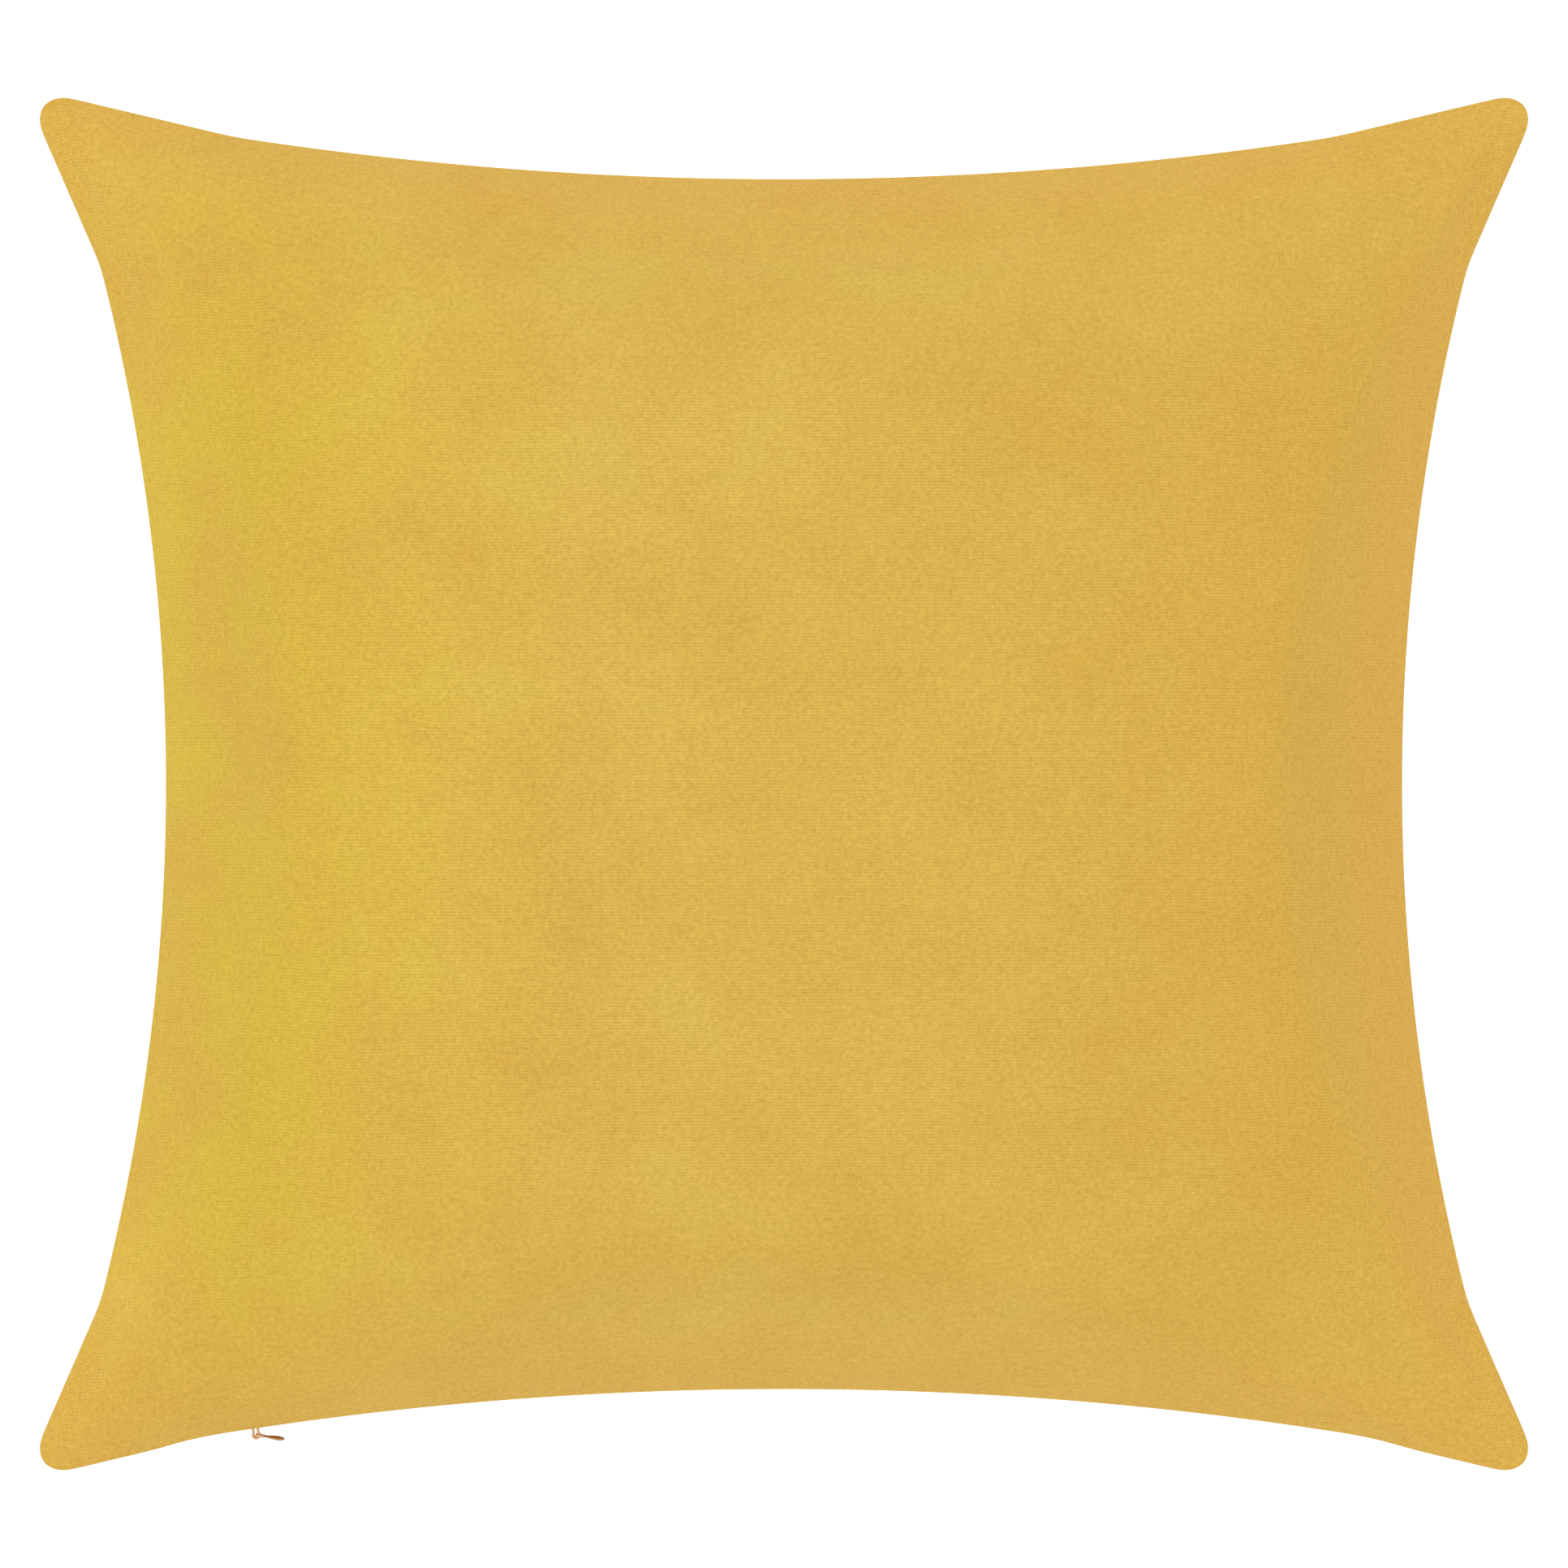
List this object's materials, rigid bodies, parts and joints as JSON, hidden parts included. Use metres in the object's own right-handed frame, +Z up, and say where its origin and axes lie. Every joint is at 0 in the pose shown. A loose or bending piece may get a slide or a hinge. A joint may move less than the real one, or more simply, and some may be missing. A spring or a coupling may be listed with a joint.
{
  "type": "throw pillow",
  "caption": "Square knife-edge throw pillow in plain short-pile velvet: a zipped cover with pulled-in seams and pointed corners round a fibre-filled insert.",
  "frame": {"origin": "under the middle of the pillow, on the surface that it lies on", "axes": "+Z up out of the front face; +X along the zip, towards the end where it opens; -Y towards the zipped seam"},
  "size_m": [0.4488, 0.4136, 0.155],
  "materials": {
    "velvet": "short-pile velvet, mustard yellow, soft sheen at grazing angles",
    "cover_thread": "spun polyester thread, mustard",
    "zip_tape": "woven polyester tape, mustard",
    "zip_coil": "nylon coil, mustard, satin",
    "rose_gold_metal": "polished plated zinc, rose gold",
    "insert_cloth": "plain thin polyester-cotton cloth, off-white",
    "insert_thread": "spun polyester thread, white",
    "polyester_fibre": "loose crimped polyester fibre, white"
  },
  "bodies": {
    "root": {"cover_front_panel": "velvet", "cover_back_panel": "velvet", "cover_seam_thread": "cover_thread", "cover_overlock_thread": "cover_thread", "zip_tape_front": "zip_tape", "zip_tape_back": "zip_tape", "zip_coil_front": "zip_coil", "zip_coil_back": "zip_coil", "zip_stitching_front": "cover_thread", "zip_stitching_back": "cover_thread", "zip_top_stop_front": "rose_gold_metal", "zip_top_stop_back": "rose_gold_metal", "zip_bottom_stop": "rose_gold_metal", "bar_tack_left": "cover_thread", "bar_tack_right": "cover_thread", "insert_front_panel": "insert_cloth", "insert_back_panel": "insert_cloth", "insert_seam_thread": "insert_thread", "insert_closing_stitch": "insert_thread", "fibre_fill": "polyester_fibre"},
    "slider": {"slider_body": "rose_gold_metal"},
    "pull": {"pull_tab": "rose_gold_metal"}
  },
  "joints": [
    {"name": "slider_travel", "type": "hinge", "parent": "root", "child": "slider", "pos_m": [0, -1.25595, 0.075], "axis": [0, 0, -1], "range_deg": [0, 17.05]},
    {"name": "pull_swing", "type": "hinge", "parent": "slider", "child": "pull", "pos_m": [-0.15891, -0.19605, 0.075], "axis": [0, 0, -1], "range_deg": [-16, 160]}
  ]
}
